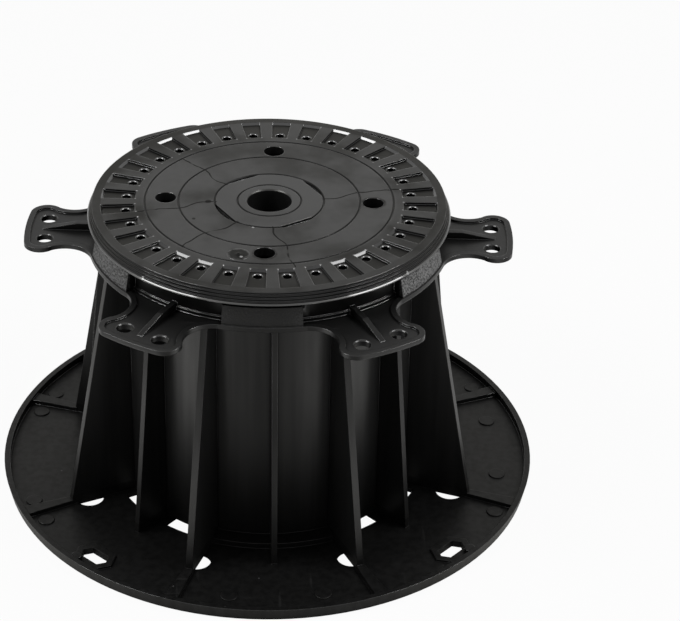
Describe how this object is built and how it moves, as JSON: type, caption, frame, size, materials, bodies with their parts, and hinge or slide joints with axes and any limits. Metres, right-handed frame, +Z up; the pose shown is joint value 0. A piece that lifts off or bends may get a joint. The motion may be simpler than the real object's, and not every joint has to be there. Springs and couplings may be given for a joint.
{
  "type": "decking pedestal",
  "caption": "Height-adjustable decking pedestal: round ribbed base, eared turning ring and a flat screw head with pockets and screw holes to carry a deck.",
  "frame": {"origin": "centre of the base's underside, on the ground", "axes": "+Z up along the screw axis; +X along a small rib of the base; the base is alike every quarter turn"},
  "size_m": [0.236, 0.236, 0.132],
  "materials": {
    "base_plastic": "black moulded polypropylene, smooth satin",
    "ring_plastic": "black moulded polypropylene, satin with a grainy band",
    "head_plastic": "black moulded polypropylene, soft satin sheen"
  },
  "bodies": {
    "base": {"base": "base_plastic"},
    "turning_ring": {"turning_ring": "ring_plastic"},
    "head": {"head": "head_plastic"}
  },
  "joints": [
    {"name": "ring_turn", "type": "hinge", "parent": "base", "child": "turning_ring", "pos_m": [0, 0, 0.1147], "axis": [0, 0, -1], "range_deg": [0, 3150]},
    {"name": "head_lift", "type": "slide", "parent": "base", "child": "head", "axis": [0, 0, 1], "range_m": [0, 0.07]}
  ],
  "couplings": [
    {"joint": "head_lift", "follows": "ring_turn", "m_per_rad": 0.0012732}
  ]
}
